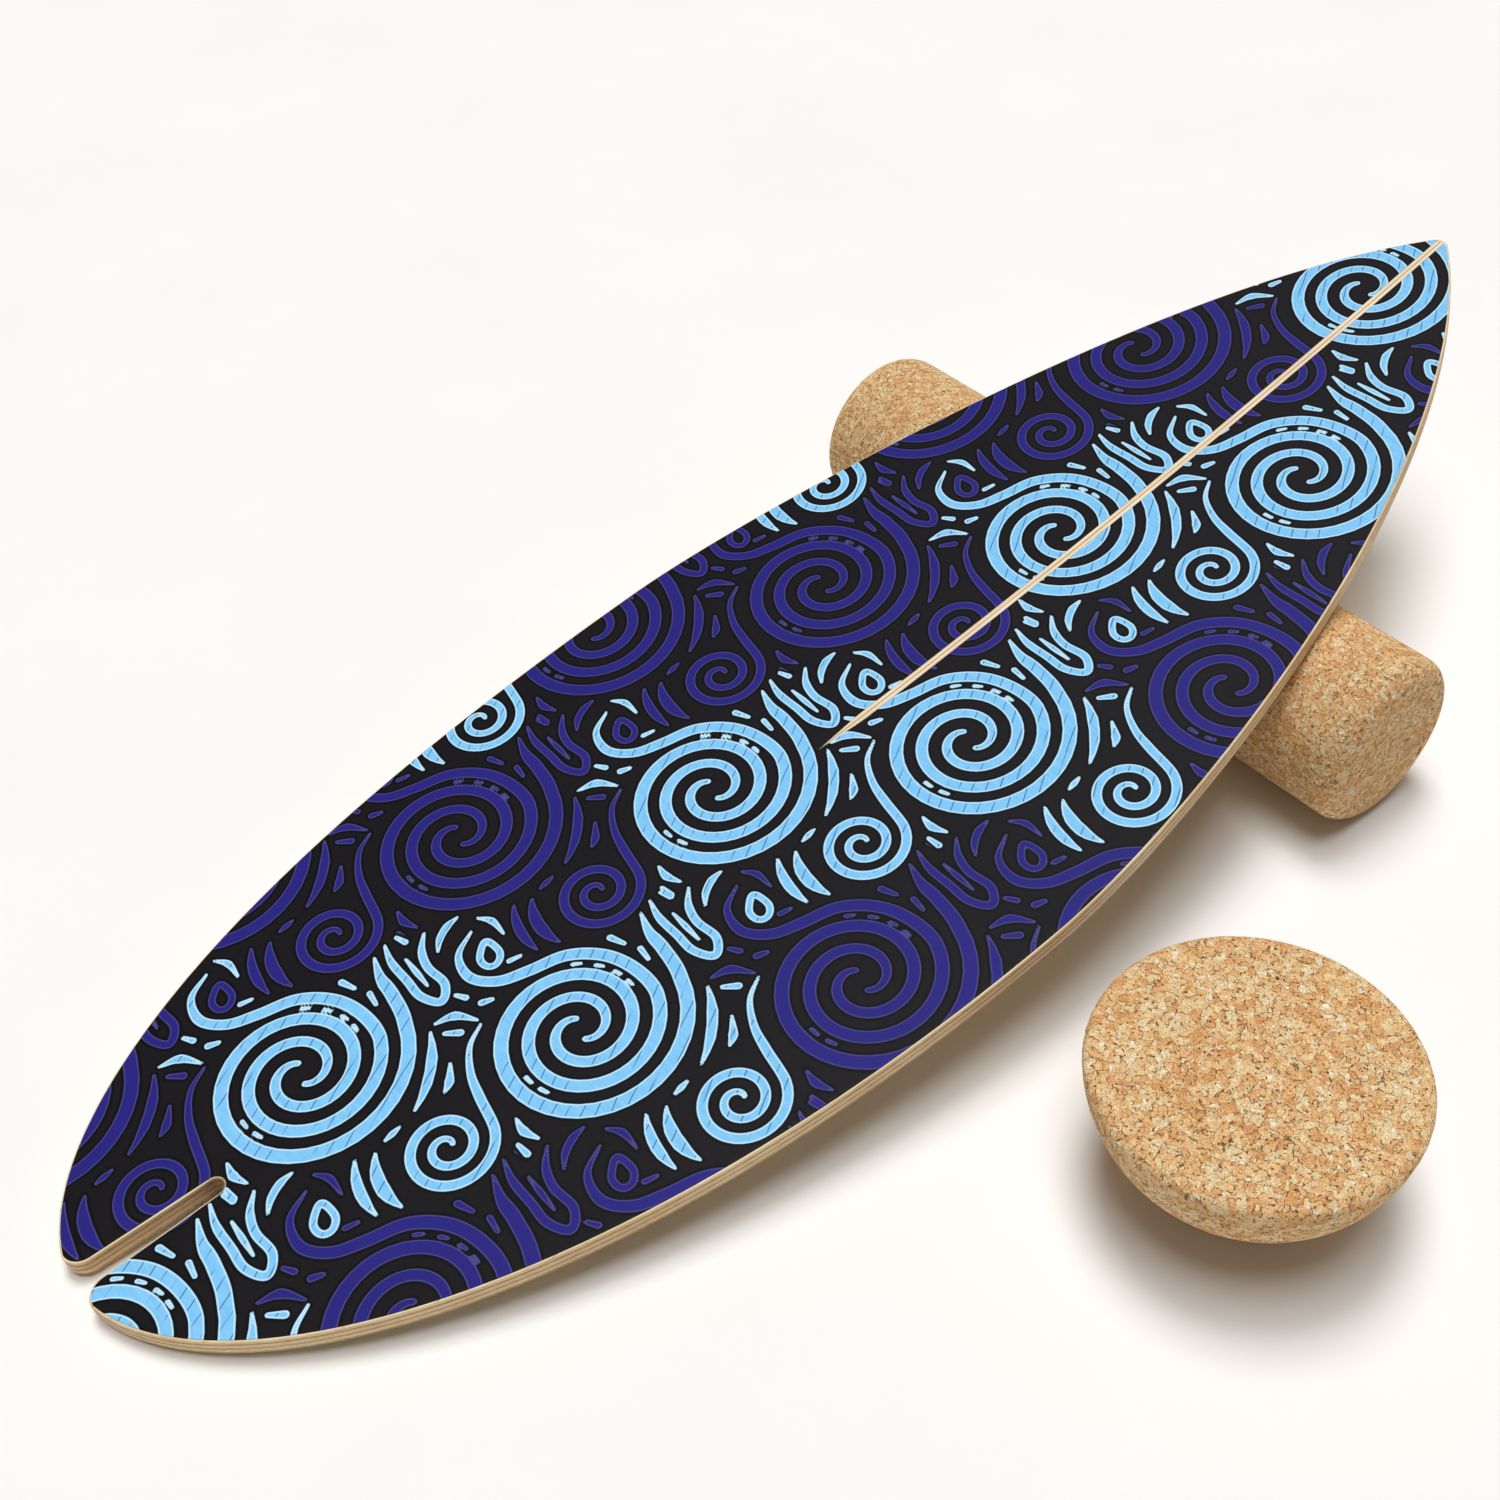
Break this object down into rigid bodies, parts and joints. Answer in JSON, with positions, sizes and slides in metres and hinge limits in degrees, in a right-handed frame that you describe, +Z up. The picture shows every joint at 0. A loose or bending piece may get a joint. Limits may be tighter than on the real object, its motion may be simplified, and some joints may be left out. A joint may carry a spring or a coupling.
{
  "type": "balance board",
  "caption": "Surf-shaped balance board of bent plywood with a tail slot and a stringer, leaning on a cork roller, with a cork half ball beside it.",
  "frame": {"origin": "middle of the whole set's footprint, on the floor", "axes": "+X along the board to its nose, +Y to the board's left along the roller, +Z up"},
  "size_m": [0.931, 0.584, 0.1788],
  "materials": {
    "face_veneer": "pale face veneer, satin lacquer",
    "cross_veneer": "cross-laid inner veneer, edge sanded and lacquered",
    "long_veneer": "long-grain inner veneer, edge sanded and lacquered",
    "printed_film": "black printed film with light blue and indigo swirls, satin gloss",
    "stringer_wood": "pale wood inlay with a fine dark middle line",
    "cork": "pressed cork granules, sanded, matt"
  },
  "bodies": {
    "roller": {"cork_roller": "cork"},
    "board": {"ply_1_face": "face_veneer", "ply_2_cross": "cross_veneer", "ply_3_long": "long_veneer", "ply_4_core": "cross_veneer", "ply_5_long": "long_veneer", "ply_6_cross": "cross_veneer", "ply_7_face": "face_veneer", "deck_print": "printed_film", "deck_stringer": "stringer_wood"},
    "half_ball": {"cork_half_ball": "cork"}
  },
  "joints": [
    {"name": "board_tilt", "type": "hinge", "parent": "roller", "child": "board", "pos_m": [0.21135, 0.069, 0.05], "axis": [0, 1, 0], "range_deg": [0, 34.8]},
    {"name": "half_ball_rock", "type": "hinge", "parent": "roller", "child": "half_ball", "pos_m": [-0.01864, -0.216, 0.07623], "axis": [0, 1, 0], "range_deg": [-80, 80]}
  ]
}
